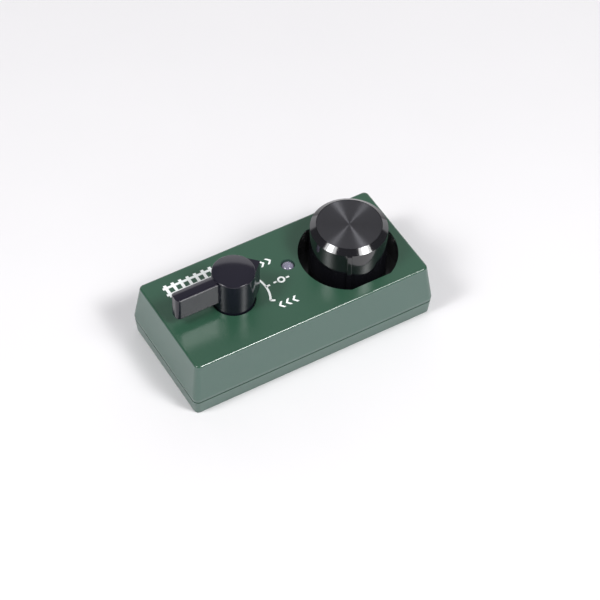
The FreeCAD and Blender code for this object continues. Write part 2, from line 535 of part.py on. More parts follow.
# ---------------------------------------------------------------- direction control
def direction_lever():
    """Hub, foot, arm and beak in one moulding, hollow below and crowned on top."""
    low = ROTOR_TOP_Z + 0.02
    foot = cylinder(FOOT_RADIUS, low, ARM_BOTTOM_Z + 1, LEVER_X, LEVER_Y)
    hub_top_z = CONTROL_TOP_Z + HUB_CROWN
    hub = cylinder(HUB_RADIUS, ARM_BOTTOM_Z, hub_top_z, LEVER_X, LEVER_Y)
    crown = crown_radius(HUB_RADIUS, HUB_CROWN)
    hub = hub.common(Part.makeSphere(crown, V(LEVER_X, LEVER_Y, hub_top_z - crown)))
    hub = hub.makeFillet(HUB_RIM_RADIUS, edges_at(hub, CONTROL_TOP_Z))
    hub = hub.makeFillet(0.15, edges_at(hub, ARM_BOTTOM_Z))
    lever = fuse([foot, hub, lever_arm(), lever_beak()])
    hollow = ring(FOOT_RADIUS - HUB_WALL, 3.2, low - 1, CONTROL_TOP_Z - 5.0, LEVER_X, LEVER_Y)
    pilot = cylinder(ROTOR_SCREW_RADIUS + SCREW_FIT, low - 1, low + 8.0, LEVER_X, LEVER_Y)
    keyway = box((LEVER_X - 2.0, LEVER_X + 2.0), (LEVER_Y - 4.0, LEVER_Y + 4.0), (low - 1, low + 1.5))
    return lever.cut(Part.makeCompound([hollow, pilot])).cut(keyway)


def crown_radius(half_width, rise):
    """The radius of the arc that rises by rise over a chord of twice half_width."""
    return (half_width ** 2 + rise ** 2) / (2 * rise)


def lever_arm():
    """A thick blade with round end corners and a crowned top."""
    half = ARM_THICKNESS / 2
    reach = (LEVER_X - ARM_REACH, LEVER_X)
    blade = box(reach, (LEVER_Y - half, LEVER_Y + half), (ARM_BOTTOM_Z, ARM_TOP_Z))
    height = ARM_TOP_Z - ARM_BOTTOM_Z
    end_edges = [e for e in blade.Edges if abs(e.Length - height) < 1e-6 and e.BoundBox.XMax < LEVER_X - 1]
    blade = blade.makeFillet(ARM_CORNER_RADIUS, end_edges)
    crown = crown_radius(half, ARM_CROWN)
    centre_z = ARM_TOP_Z - crown
    rounded = Part.makeCylinder(crown, ARM_REACH, V(LEVER_X - ARM_REACH, LEVER_Y, centre_z), V(1, 0, 0))
    lower = box(reach, (LEVER_Y - half, LEVER_Y + half), (ARM_BOTTOM_Z, centre_z))
    blade = blade.common(rounded.fuse(lower)).removeSplitter()
    foot_edges = [e for e in edges_at(blade, ARM_BOTTOM_Z) if e.BoundBox.XMin < LEVER_X - 1]
    return blade.makeFillet(ARM_EDGE_RADIUS, foot_edges)


def lever_beak():
    """A small pointed ridge, tangent to the hub, opposite the arm."""
    radius = FOOT_RADIUS - 0.1
    angle = math.acos(radius / BEAK_REACH)
    x, y = radius * math.cos(angle), radius * math.sin(angle)
    top = CONTROL_TOP_Z - HUB_RIM_RADIUS
    plan = ((0, 0), (x, -y), (BEAK_REACH, 0), (x, y))
    corners = [V(LEVER_X + dx, LEVER_Y + dy, BEAK_BOTTOM_Z) for dx, dy in plan]
    wedge = extrude(Part.makePolygon(corners + corners[:1]), top - BEAK_BOTTOM_Z)
    tip = [e for e in wedge.Edges if e.BoundBox.XMin > LEVER_X + BEAK_REACH - 1e-3]
    return wedge.makeFillet(0.25, tip)


def switch_rotor():
    disc = cylinder(ROTOR_RADIUS, ROTOR_BOTTOM_Z, ROTOR_TOP_Z, LEVER_X, LEVER_Y)
    key = box((LEVER_X - 1.95, LEVER_X + 1.95), (LEVER_Y - 3.0, LEVER_Y + 3.0),
              (ROTOR_TOP_Z - 0.2, ROTOR_TOP_Z + 1.4))
    notches = [turned(cylinder(DETENT_NOTCH_RADIUS, ROTOR_BOTTOM_Z - 1, ROTOR_TOP_Z + 1,
                               LEVER_X, LEVER_Y + ROTOR_RADIUS + 0.35), angle, LEVER_X, LEVER_Y)
               for angle in (-LEVER_TRAVEL, 0.0, LEVER_TRAVEL)]
    hole = cylinder(1.3, ROTOR_BOTTOM_Z - 1, ROTOR_TOP_Z + 3, LEVER_X, LEVER_Y)
    return fuse([disc, key]).cut(Part.makeCompound(notches + [hole]))


def rotor_screw():
    return pan_screw(LEVER_X, LEVER_Y, ROTOR_BOTTOM_Z, 28.0, 2.1, 1.1, ROTOR_SCREW_RADIUS)


def arc_strip(radius, width, half_angle, middle, z0, z1):
    """A flat strip that follows part of a circle about the lever's axis."""
    whole = ring(radius + width / 2, radius - width / 2, z0, z1, LEVER_X, LEVER_Y)
    reach = 3 * radius
    corners = [V(LEVER_X, LEVER_Y, z0 - 1)]
    for angle in (middle - half_angle, middle, middle + half_angle):
        corners.append(V(LEVER_X + reach * math.cos(math.radians(angle)),
                         LEVER_Y + reach * math.sin(math.radians(angle)), z0 - 1))
    return whole.common(extrude(Part.makePolygon(corners + corners[:1]), z1 - z0 + 2))


def wiper_springs():
    """Two bronze strips under the rotor, each with two contact dimples."""
    found = []
    for middle in (0.0, 180.0):
        z1 = ROTOR_BOTTOM_Z
        strips = [arc_strip(r, WIPER_WIDTH, WIPER_HALF_ANGLE, middle, z1 - WIPER_THICKNESS, z1)
                  for r in WIPER_TRACKS]
        bridge = arc_strip(sum(WIPER_TRACKS) / 2, WIPER_TRACKS[1] - WIPER_TRACKS[0], 7.0, middle,
                           z1 - WIPER_THICKNESS, z1)
        dimples = []
        for r in WIPER_TRACKS:
            low = BOARD_TOP_Z + PAD_THICKNESS + 0.06
            dimple = Part.makeCone(0.25, 0.55, z1 - low - 0.05, V(LEVER_X + r, LEVER_Y, low), UP)
            dimples.append(turned(dimple, middle + 18.0, LEVER_X, LEVER_Y))
        found.append(fuse(strips + [bridge] + dimples))
    return found


def contact_pads():
    """Copper arcs on the board: a feed arc inside and one arc for each way outside, on both sides."""
    found = []
    z = (BOARD_TOP_Z, BOARD_TOP_Z + PAD_THICKNESS)
    for middle in (18.0, 198.0):
        found.append(arc_strip(WIPER_TRACKS[0], 1.8, 42.0, middle, *z))
        for side in (-1, 1):
            found.append(arc_strip(WIPER_TRACKS[1], 1.8, 11.0, middle + side * LEVER_TRAVEL, *z))
    return found


def detent_pegs():
    y = LEVER_Y + ROTOR_RADIUS + DETENT_PEG_OFFSET
    return ((LEVER_X - 7.0, y), (LEVER_X + 7.0, y))


def detent_spring():
    """A straight steel leaf behind the rotor, held by two pegs, with a round nose over the middle notch."""
    nose_y = LEVER_Y + ROTOR_RADIUS + DETENT_GAP + DETENT_NOSE_RADIUS
    leaf_y = LEVER_Y + ROTOR_RADIUS + DETENT_PEG_OFFSET - DETENT_PEG_RADIUS - 0.02
    z = (ROTOR_BOTTOM_Z + 0.15, ROTOR_TOP_Z - 0.1)
    leaf = box((LEVER_X - 9.0, LEVER_X + 9.0), (leaf_y - 0.3, leaf_y), z)
    nose = cylinder(DETENT_NOSE_RADIUS, z[0], z[1], LEVER_X, nose_y)
    stem = box((LEVER_X - 0.5, LEVER_X + 0.5), (nose_y, leaf_y), z)
    return fuse([leaf, nose, stem])


# ---------------------------------------------------------------- electronics
def circuit_board():
    board = box(BOARD_X, (-BOARD_HALF_WIDTH, BOARD_HALF_WIDTH), (BOARD_BOTTOM_Z, BOARD_TOP_Z))
    holes = [cylinder(3.0, BOARD_BOTTOM_Z - 1, BOARD_TOP_Z + 1, LEVER_X, LEVER_Y)]
    holes += [cylinder(1.1, BOARD_BOTTOM_Z - 1, BOARD_TOP_Z + 1, x, y) for x, y in BOARD_SCREWS]
    return board.cut(Part.makeCompound(holes))


def board_screws():
    return [pan_screw(x, y, BOARD_BOTTOM_Z, 22.9, 2.0, 1.2, SMALL_SCREW_RADIUS) for x, y in BOARD_SCREWS]


def status_led():
    low = BOARD_TOP_Z + 0.1
    flange = cylinder(LED_RADIUS + 0.3, low, low + 0.8, LED_X, LED_Y)
    body = cylinder(LED_RADIUS, low, LED_TOP_Z - 1.3, LED_X, LED_Y)
    dome_radius = (LED_RADIUS ** 2 + 1.3 ** 2) / (2 * 1.3)
    dome = Part.makeSphere(dome_radius, V(LED_X, LED_Y, LED_TOP_Z - dome_radius))
    cap = dome.common(cylinder(LED_RADIUS, LED_TOP_Z - 1.31, LED_TOP_Z + 1, LED_X, LED_Y))
    # room for the two posts of the lead frame
    height = (BOARD_TOP_Z - 1, BOARD_TOP_Z + 2.2)
    pockets = [box((LED_X - 1.25, LED_X - 0.35), (LED_Y - 0.4, LED_Y + 0.4), height),
               box((LED_X + 0.15, LED_X + 1.45), (LED_Y - 0.6, LED_Y + 0.6), height)]
    return fuse([flange, body, cap]).cut(Part.makeCompound(pockets))


def led_frame():
    """Post and anvil inside the lens, each going down through the board as a leg."""
    low = BOARD_TOP_Z + 0.1
    post = fuse([box((LED_X - 1.2, LED_X - 0.4), (LED_Y - 0.35, LED_Y + 0.35), (low, low + 2.05)),
                 box((LED_X - 1.2, LED_X - 0.75), (LED_Y - 0.22, LED_Y + 0.22), (BOARD_TOP_Z, low + 0.5))])
    anvil = fuse([box((LED_X + 0.2, LED_X + 1.4), (LED_Y - 0.55, LED_Y + 0.55), (low + 0.6, low + 2.05)),
                  box((LED_X + 0.9, LED_X + 1.35), (LED_Y - 0.22, LED_Y + 0.22), (BOARD_TOP_Z, low + 1.0))])
    return [post, anvil]


def power_transistor():
    """A flat-pack transistor with a metal tab, hanging under the board."""
    half, y, top = TRANSISTOR_HALF_WIDTH, TRANSISTOR_Y, TRANSISTOR_TOP_Z
    return box((TRANSISTOR_X - half, TRANSISTOR_X + half), (y - 1.9, y + 1.1), (top - 9.2, top))


def transistor_tab():
    half, y, top = TRANSISTOR_HALF_WIDTH, TRANSISTOR_Y, TRANSISTOR_TOP_Z
    tab = box((TRANSISTOR_X - half, TRANSISTOR_X + half), (y + 1.1, y + 2.4), (top - 13.8, top - 0.6))
    return tab.cut(Part.makeCylinder(1.8, 6, V(TRANSISTOR_X, y, top - 11.4), V(0, 1, 0)))


def capacitor():
    low = CAPACITOR_TOP_Z - CAPACITOR_LENGTH
    can = cylinder(CAPACITOR_RADIUS, low, CAPACITOR_TOP_Z, CAPACITOR_X, CAPACITOR_Y)
    return can.makeFillet(0.5, edges_at(can, low) + edges_at(can, CAPACITOR_TOP_Z))


def resettable_fuse():
    disc = Part.makeCylinder(FUSE_RADIUS, FUSE_THICKNESS,
                             V(FUSE_X, FUSE_Y - FUSE_THICKNESS / 2, BOARD_BOTTOM_Z - FUSE_DROP), V(0, 1, 0))
    return disc.makeFillet(0.8, [e for e in disc.Edges if e.Curve.TypeId == "Part::GeomCircle"])


def resistors():
    """Three small resistors standing on end under the board."""
    found = []
    for x in RESISTOR_XS:
        body = cylinder(RESISTOR_RADIUS, RESISTOR_BOTTOM_Z, RESISTOR_TOP_Z, x, RESISTOR_Y)
        ends = edges_at(body, RESISTOR_BOTTOM_Z) + edges_at(body, RESISTOR_TOP_Z)
        found.append(body.makeFillet(0.5, ends))
    return found


def component_legs():
    """Every tinned leg between a component and the board."""
    z = BOARD_BOTTOM_Z
    legs = []
    for k in (-1, 0, 1):
        x = TRANSISTOR_X + k * TRANSISTOR_LEG_PITCH
        legs.append(box((x - 0.4, x + 0.4), (TRANSISTOR_Y - 0.6, TRANSISTOR_Y - 0.1),
                        (TRANSISTOR_TOP_Z, z)))
    for dx in (-1.2, 1.2):
        legs.append(cylinder(LEG_RADIUS, CAPACITOR_TOP_Z, z, CAPACITOR_X + dx, CAPACITOR_Y))
    for dx in (-1.5, 1.5):
        legs.append(cylinder(LEG_RADIUS, z - 1.6, z, FUSE_X + dx, FUSE_Y).cut(resettable_fuse()))
    for x in RESISTOR_XS:
        legs.append(cylinder(LEG_RADIUS, RESISTOR_TOP_Z, z, x, RESISTOR_Y))
        turn_z, side_x = RESISTOR_BOTTOM_Z - 1.6, x + RESISTOR_LEG_SPAN
        legs.append(lead([(x, RESISTOR_Y, RESISTOR_BOTTOM_Z), (x, RESISTOR_Y, turn_z),
                          (side_x, RESISTOR_Y, turn_z), (side_x, RESISTOR_Y, z)], LEG_RADIUS))
    return legs


# ---------------------------------------------------------------- track outlet
def outlet_face_y():
    """The housing's face lies just inside the sloping back wall."""
    return outer_width(OUTLET_Z + OUTLET_HEIGHT / 2) / 2 - OUTLET_FACE_INSET


def outlet_socket():
    """A housing that fills the window in the back wall, with a two-pole mouth facing backwards."""
    face_y = outlet_face_y()
    half, low = OUTLET_LENGTH / 2, OUTLET_Z - OUTLET_HEIGHT / 2
    block = box((OUTLET_X - half, OUTLET_X + half), (OUTLET_BACK_Y, face_y), (low, low + OUTLET_HEIGHT))
    flange = box((OUTLET_X - half - 0.8, OUTLET_X + half + 0.8), (20.2, 21.8), (low, low + OUTLET_HEIGHT))
    mouth_low = OUTLET_Z - OUTLET_MOUTH_HEIGHT / 2
    mouth = box((OUTLET_X - OUTLET_MOUTH_LENGTH / 2, OUTLET_X + OUTLET_MOUTH_LENGTH / 2),
                (face_y - OUTLET_MOUTH_DEPTH, face_y + 1), (mouth_low, mouth_low + OUTLET_MOUTH_HEIGHT))
    slots = [box((x - 0.8, x + 0.8), (OUTLET_BACK_Y - 1, face_y - 1.0), (mouth_low - 0.4, mouth_low + 0.1))
             for x in outlet_pole_xs()]
    key = box((OUTLET_X - 1.0, OUTLET_X + 1.0), (face_y - 1.6, face_y + 1),
              (low + OUTLET_HEIGHT - 1.3, low + OUTLET_HEIGHT + 1))
    return fuse([block, flange]).cut(Part.makeCompound([mouth, key] + slots))


def outlet_pole_xs():
    return OUTLET_X - OUTLET_POLE_X, OUTLET_X + OUTLET_POLE_X


def outlet_contacts():
    """Two brass blades on the mouth's floor, each with a leg that rises to the board behind the housing."""
    low = OUTLET_Z - OUTLET_MOUTH_HEIGHT / 2 - 0.35
    leg = (OUTLET_BACK_Y - 0.7, OUTLET_BACK_Y - 0.3)
    found = []
    for x in outlet_pole_xs():
        blade = box((x - 0.75, x + 0.75), (leg[0], outlet_face_y() - 1.1), (low, low + 0.3))
        riser = box((x - 0.75, x + 0.75), leg, (low, BOARD_BOTTOM_Z))
        found.append(fuse([blade, riser]))
    return found


# ---------------------------------------------------------------- leads
def lead_routes():
    """Each insulated wire's corners, from its terminal to the underside of the board."""
    snap_x = BATTERY_X[1] + STUD_HEIGHT + 0.1 + SNAP_THICKNESS
    tag_x, tag_z = KNOB_X - 13.6, POT_TAG_Z + 0.15
    return {
        "battery_lead_red": [(snap_x, -3.5, 12.8), (6.0, -3.5, 12.8), (6.0, -15.4, 13.2),
                             (1.0, -18.6, 15.2), (1.0, -18.6, BOARD_BOTTOM_Z)],
        "battery_lead_black": [(snap_x, 3.5, 8.6), (6.8, 3.5, 8.6), (6.8, -13.6, 7.4),
                               (4.6, -18.6, 11.6), (4.6, -18.6, BOARD_BOTTOM_Z)],
        "speed_lead_white": [(tag_x, KNOB_Y - 5.0, tag_z), (11.2, KNOB_Y - 5.0, tag_z), (9.6, 4.0, 5.0),
                             (6.6, 13.4, 5.4), (6.0, 17.0, 10.6), (6.0, 17.0, BOARD_BOTTOM_Z)],
        "speed_lead_yellow": [(tag_x, KNOB_Y, tag_z), (11.4, KNOB_Y, tag_z), (8.8, 8.0, 9.6),
                              (6.8, 14.4, 10.6), (3.2, 17.6, 15.2), (3.2, 17.6, BOARD_BOTTOM_Z)],
        "speed_lead_green": [(tag_x, KNOB_Y + 5.0, tag_z), (11.6, KNOB_Y + 5.0, tag_z), (10.6, 11.4, 6.6),
                             (8.4, 17.6, 7.2), (6.0, 19.2, 12.6), (6.0, 19.2, BOARD_BOTTOM_Z)],
    }


# ---------------------------------------------------------------- output
def save(name, shape):
    """Writes one node, after checking that every solid in it is closed and valid."""
    shapes = shape if isinstance(shape, list) else [shape]
    solids = [s for item in shapes for s in item.Solids]
    for solid in solids:
        if not solid.isValid() or not solid.isClosed() or solid.Volume <= 0:
            print("NOT VALID", name, solid.isValid(), solid.isClosed(), solid.Volume)
    result = solids[0] if len(solids) == 1 else Part.makeCompound(solids)
    result.exportStep(f"parts/{name}.step")
    print(f"{name:24s} {len(solids)} solid(s) {sum(s.Volume for s in solids):10.2f} mm3")


def main():
    os.makedirs("parts", exist_ok=True)
    for old in os.listdir("parts"):
        os.remove(os.path.join("parts", old))
    makers = [upper_case, lower_case, case_screws,
              battery_door, battery, battery_terminals, battery_snap, snap_contacts,
              knob_well, well_screws, knob_body, knob_cap, knob_spring_ring,
              pot_shaft, pot_bushing, pot_washer, pot_nut, pot_can, pot_wafer, pot_track, pot_terminals,
              pot_wiper, direction_lever, switch_rotor, rotor_screw, wiper_springs, contact_pads,
              detent_spring, circuit_board, board_screws, status_led, led_frame, power_transistor,
              transistor_tab, capacitor, resettable_fuse, resistors, component_legs,
              outlet_socket, outlet_contacts]
    for maker in makers:
        save(maker.__name__, maker())
    for name, points in lead_routes().items():
        save(name, lead(points))


main()
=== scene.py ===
import bmesh
import bpy
import json
import math
from mathutils import Matrix, Vector


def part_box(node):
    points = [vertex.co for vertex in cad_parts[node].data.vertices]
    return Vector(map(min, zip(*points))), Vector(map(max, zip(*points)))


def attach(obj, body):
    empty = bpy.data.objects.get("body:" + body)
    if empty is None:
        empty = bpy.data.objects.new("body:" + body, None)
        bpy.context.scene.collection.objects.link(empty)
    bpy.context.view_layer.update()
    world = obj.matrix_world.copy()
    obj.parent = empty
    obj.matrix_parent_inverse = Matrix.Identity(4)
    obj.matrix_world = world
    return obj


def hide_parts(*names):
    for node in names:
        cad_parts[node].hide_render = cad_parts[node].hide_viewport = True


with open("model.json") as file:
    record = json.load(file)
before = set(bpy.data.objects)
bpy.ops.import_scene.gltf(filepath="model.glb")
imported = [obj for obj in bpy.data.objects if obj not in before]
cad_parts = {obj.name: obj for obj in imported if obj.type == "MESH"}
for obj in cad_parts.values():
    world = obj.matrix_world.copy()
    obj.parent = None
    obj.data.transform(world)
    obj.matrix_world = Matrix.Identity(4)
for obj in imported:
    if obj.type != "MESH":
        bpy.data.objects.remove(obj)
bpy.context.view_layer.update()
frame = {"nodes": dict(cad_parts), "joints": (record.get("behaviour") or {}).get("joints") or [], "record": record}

MM = 0.001

# ---------------------------------------------------------------- places taken from the frame
NODES = frame["nodes"]
CASE_LOW, CASE_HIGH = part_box("upper_case")
FACE_Z = CASE_HIGH.z
CASE_CENTRE = (CASE_LOW + CASE_HIGH) / 2
CAP_LOW, CAP_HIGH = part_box("knob_cap")
KNOB = (CAP_LOW + CAP_HIGH) / 2
LEVER = Vector(next(j for j in frame["joints"] if j["name"] == "direction_turn")["pos_m"])

# ---------------------------------------------------------------- camera, lights and floor
VIEW_AZIMUTH, VIEW_ELEVATION, VIEW_ROLL = -31.43, 49.44, 1.463
VIEW_DISTANCE, VIEW_LENS = 0.902, 140.4
VIEW_TARGET = Vector((6.04, -2.11, 10.1)) * MM
VIEW_NEAR, VIEW_FAR = 0.05, 20.0
WALL_LIGHT, WALL_TINT = 0.14, (0.97, 0.96, 1.0, 1.0)
# azimuth from the camera's, elevation, full-strength reach, outer reach (all degrees) and strength
STUDIO_PATCHES = (
    (180, 64, 12, 44, 0.20),
    (0, -10, 38, 56, 0.60),
    (180, -45, 76, 82, 1.20),
)
# name, azimuth from the camera's (degrees) and relative power of the two lamp stands
LAMP_STANDS = (("right", 57, 1.18), ("left", -60, 0.87))
LAMP_ELEVATION = 50
# name, distance (m), size (m) and power (W) of the wide light and the hotter middle on each stand
STAND_LIGHTS = (("softbox", 1.2, (0.46, 0.46), 5.4), ("softbox_core", 1.18, (0.20, 0.24), 3.4))
FLOOR_HALF = 3.0


def direction(azimuth, elevation):
    """From the object towards a place at that azimuth (0 is in front, at -Y) and elevation, in degrees."""
    a, e = math.radians(azimuth), math.radians(elevation)
    return Vector((math.sin(a) * math.cos(e), -math.cos(a) * math.cos(e), math.sin(e)))


def make_camera():
    """A long lens above the front left corner, turned a little about its own axis."""
    back = direction(VIEW_AZIMUTH, VIEW_ELEVATION)
    right = Vector((math.cos(math.radians(VIEW_AZIMUTH)), math.sin(math.radians(VIEW_AZIMUTH)), 0))
    up = back.cross(right)
    roll = math.radians(VIEW_ROLL)
    side = right * math.cos(roll) + up * math.sin(roll)
    head = up * math.cos(roll) - right * math.sin(roll)
    camera = bpy.data.objects.new("camera", bpy.data.cameras.new("camera"))
    bpy.context.scene.collection.objects.link(camera)
    camera.data.lens = VIEW_LENS
    camera.data.clip_start, camera.data.clip_end = VIEW_NEAR, VIEW_FAR
    place = Matrix((side, head, back)).transposed().to_4x4()
    place.translation = VIEW_TARGET + back * VIEW_DISTANCE
    camera.matrix_world = place
    bpy.context.scene.camera = camera


def soft_light(name, azimuth, elevation, distance, size, power):
    """A rectangular light that faces the case."""
    data = bpy.data.lights.new(name, "AREA")
    data.shape = "RECTANGLE"
    data.size, data.size_y = size
    data.energy = power
    lamp = bpy.data.objects.new(name, data)
    bpy.context.scene.collection.objects.link(lamp)
    away = direction(azimuth, elevation)
    lamp.location = CASE_CENTRE + away * distance
    lamp.rotation_mode = "QUATERNION"
    lamp.rotation_quaternion = (-away).to_track_quat("-Z", "Y")


def make_lights():
    for side, azimuth, share in LAMP_STANDS:
        for name, distance, size, power in STAND_LIGHTS:
            soft_light(f"{name}_{side}", VIEW_AZIMUTH + azimuth, LAMP_ELEVATION, distance, size,
                       power * share)


def make_world():
    """Dim studio walls with a few soft bright patches."""
    world = bpy.data.worlds.new("studio")
    bpy.context.scene.world = world
    world.use_nodes = True
    tree = world.node_tree
    background = tree.nodes["Background"]
    background.inputs["Color"].default_value = WALL_TINT
    place = tree.nodes.new("ShaderNodeTexCoord")
    total = None
    for azimuth, elevation, inner, outer, strength in STUDIO_PATCHES:
        facing = tree.nodes.new("ShaderNodeVectorMath")
        facing.operation = "DOT_PRODUCT"
        facing.inputs[1].default_value = direction(VIEW_AZIMUTH + azimuth, elevation)
        tree.links.new(place.outputs["Generated"], facing.inputs[0])
        patch = tree.nodes.new("ShaderNodeMapRange")
        patch.interpolation_type = "SMOOTHSTEP"
        patch.inputs["From Min"].default_value = math.cos(math.radians(outer))
        patch.inputs["From Max"].default_value = math.cos(math.radians(inner))
        patch.inputs["To Max"].default_value = strength
        tree.links.new(facing.outputs["Value"], patch.inputs["Value"])
        add = tree.nodes.new("ShaderNodeMath")
        add.inputs[1].default_value = WALL_LIGHT
        tree.links.new(patch.outputs["Result"], add.inputs[0])
        if total is not None:
            tree.links.new(total, add.inputs[1])
        total = add.outputs["Value"]
    tree.links.new(total, background.inputs["Strength"])


def make_floor():
    mesh = bpy.data.meshes.new("floor")
    corners = [(x * FLOOR_HALF, y * FLOOR_HALF, 0) for x, y in ((-1, -1), (1, -1), (1, 1), (-1, 1))]
    mesh.from_pydata(corners, [], [(0, 1, 2, 3)])
    floor = bpy.data.objects.new("floor", mesh)
    bpy.context.scene.collection.objects.link(floor)
    mesh.materials.append(surface("floor", (0.82, 0.81, 0.82), 0.60, mottle=0.01, mottle_size=80))


# ---------------------------------------------------------------- materials
MOTTLE_DETAIL, GLOSS_DETAIL, GRAIN_DETAIL = 3.0, 4.0, 2.0
SMOOTHEST = 0.02


def surface(name, color, roughness, metallic=0.0, grain=0.0, grain_size=0.3, mottle=0.04, mottle_size=9.0,
            rough_spread=0.05, **sockets):
    """A procedural finish: a base colour with faint mottling, and where asked uneven gloss and a fine grain.

    grain is the grain's depth and the sizes are the patterns' scales, all in millimetres. Any other name is
    a socket of the shader, with its spaces as underscores."""
    made = bpy.data.materials.new(name)
    made.use_nodes = True
    tree = made.node_tree
    shader = tree.nodes["Principled BSDF"]
    place = tree.nodes.new("ShaderNodeTexCoord")

    def noise(size, detail):
        node = tree.nodes.new("ShaderNodeTexNoise")
        node.inputs["Scale"].default_value = 1.0 / (size * MM)
        node.inputs["Detail"].default_value = detail
        tree.links.new(place.outputs["Object"], node.inputs["Vector"])
        return node.outputs["Fac"]

    # noise keeps to the middle of its range, so the ends of the mottling are drawn twice as far apart
    shade = tree.nodes.new("ShaderNodeMix")
    shade.data_type = "RGBA"
    shade.inputs["A"].default_value = (*[c * (1 - mottle * 2) for c in color], 1)
    shade.inputs["B"].default_value = (*[min(1.0, c * (1 + mottle * 2)) for c in color], 1)
    tree.links.new(noise(mottle_size, MOTTLE_DETAIL), shade.inputs["Factor"])
    tree.links.new(shade.outputs["Result"], shader.inputs["Base Color"])
    shader.inputs["Roughness"].default_value = roughness
    if rough_spread:
        gloss = tree.nodes.new("ShaderNodeMapRange")
        gloss.inputs["To Min"].default_value = max(SMOOTHEST, roughness - rough_spread)
        gloss.inputs["To Max"].default_value = min(1.0, roughness + rough_spread)
        tree.links.new(noise(mottle_size / 3, GLOSS_DETAIL), gloss.inputs["Value"])
        tree.links.new(gloss.outputs["Result"], shader.inputs["Roughness"])
    shader.inputs["Metallic"].default_value = metallic
    if grain:
        bump = tree.nodes.new("ShaderNodeBump")
        bump.inputs["Distance"].default_value = grain * MM
        bump.inputs["Strength"].default_value = 1.0
        tree.links.new(noise(grain_size, GRAIN_DETAIL), bump.inputs["Height"])
        tree.links.new(bump.outputs["Normal"], shader.inputs["Normal"])
    for socket, value in sockets.items():
        shader.inputs[socket.replace("_", " ")].default_value = value
    return made


# the second colour is painted sheen: the paler tone put on the steep faces in place of their reflection of the
# bright floor
CASE_GREEN, CASE_PAINTED_SHEEN = (0.026, 0.084, 0.050), (0.056, 0.118, 0.094)
EDGE_GLOSS = 0.55


def moulded_case():
    """Green moulded plastic, with painted sheen that makes its steep faces paler in place of their reflection of
    the bright floor, and polished along its edges.
    """
    made = surface("case_green", CASE_GREEN, 0.28, mottle=0.02, mottle_size=14, rough_spread=0.0,
                   IOR=1.62, Specular_IOR_Level=0.62)
    tree = made.node_tree
    shader = tree.nodes["Principled BSDF"]
    place = tree.nodes.new("ShaderNodeTexCoord")
    parts = tree.nodes.new("ShaderNodeSeparateXYZ")
    tree.links.new(place.outputs["Normal"], parts.inputs["Vector"])

    def from_upright(start, end, low, high):
        """low where the face's normal rises by start, high where it rises by end."""
        node = tree.nodes.new("ShaderNodeMapRange")
        node.interpolation_type = "SMOOTHSTEP"
        node.inputs["From Min"].default_value = start
        node.inputs["From Max"].default_value = end
        node.inputs["To Min"].default_value = low
        node.inputs["To Max"].default_value = high
        tree.links.new(parts.outputs["Z"], node.inputs["Value"])
        return node.outputs["Result"]

    # painted reflection: steep faces are given a paler base colour that stands in for the bright floor they
    # reflect
    painted_sheen = tree.nodes.new("ShaderNodeMix")
    painted_sheen.data_type = "RGBA"
    tree.links.new(shader.inputs["Base Color"].links[0].from_socket, painted_sheen.inputs["A"])
    painted_sheen.inputs["B"].default_value = (*CASE_PAINTED_SHEEN, 1)
    tree.links.new(from_upright(0.80, 0.20, 0.0, 1.0), painted_sheen.inputs["Factor"])
    tree.links.new(painted_sheen.outputs["Result"], shader.inputs["Base Color"])
    # an edge's normals lie between those of the sides, which rise by less than 0.20, and of the flat top
    polish = tree.nodes.new("ShaderNodeMath")
    polish.operation = "MULTIPLY"
    tree.links.new(from_upright(0.20, 0.45, 1.0, EDGE_GLOSS), polish.inputs[0])
    tree.links.new(from_upright(0.82, 0.97, 1.0, 1.0 / EDGE_GLOSS), polish.inputs[1])
    rough = tree.nodes.new("ShaderNodeMath")
    rough.operation = "MULTIPLY"
    rough.inputs[0].default_value = shader.inputs["Roughness"].default_value
    tree.links.new(polish.outputs["Value"], rough.inputs[1])
    tree.links.new(rough.outputs["Value"], shader.inputs["Roughness"])
    return made


def spun_metal():
    """Black anodised aluminium, turned: its microscopic grooves run round the knob's axis."""
    made = surface("spun_black", (0.088, 0.088, 0.096), 0.36, metallic=0.86, mottle=0.02, rough_spread=0.02,
                   Anisotropic=1.0, Anisotropic_Rotation=0.25)
    tree = made.node_tree
    tangent = tree.nodes.new("ShaderNodeTangent")
    tangent.direction_type = "RADIAL"
    tangent.axis = "Z"
    tree.links.new(tangent.outputs["Tangent"], tree.nodes["Principled BSDF"].inputs["Tangent"])
    return made


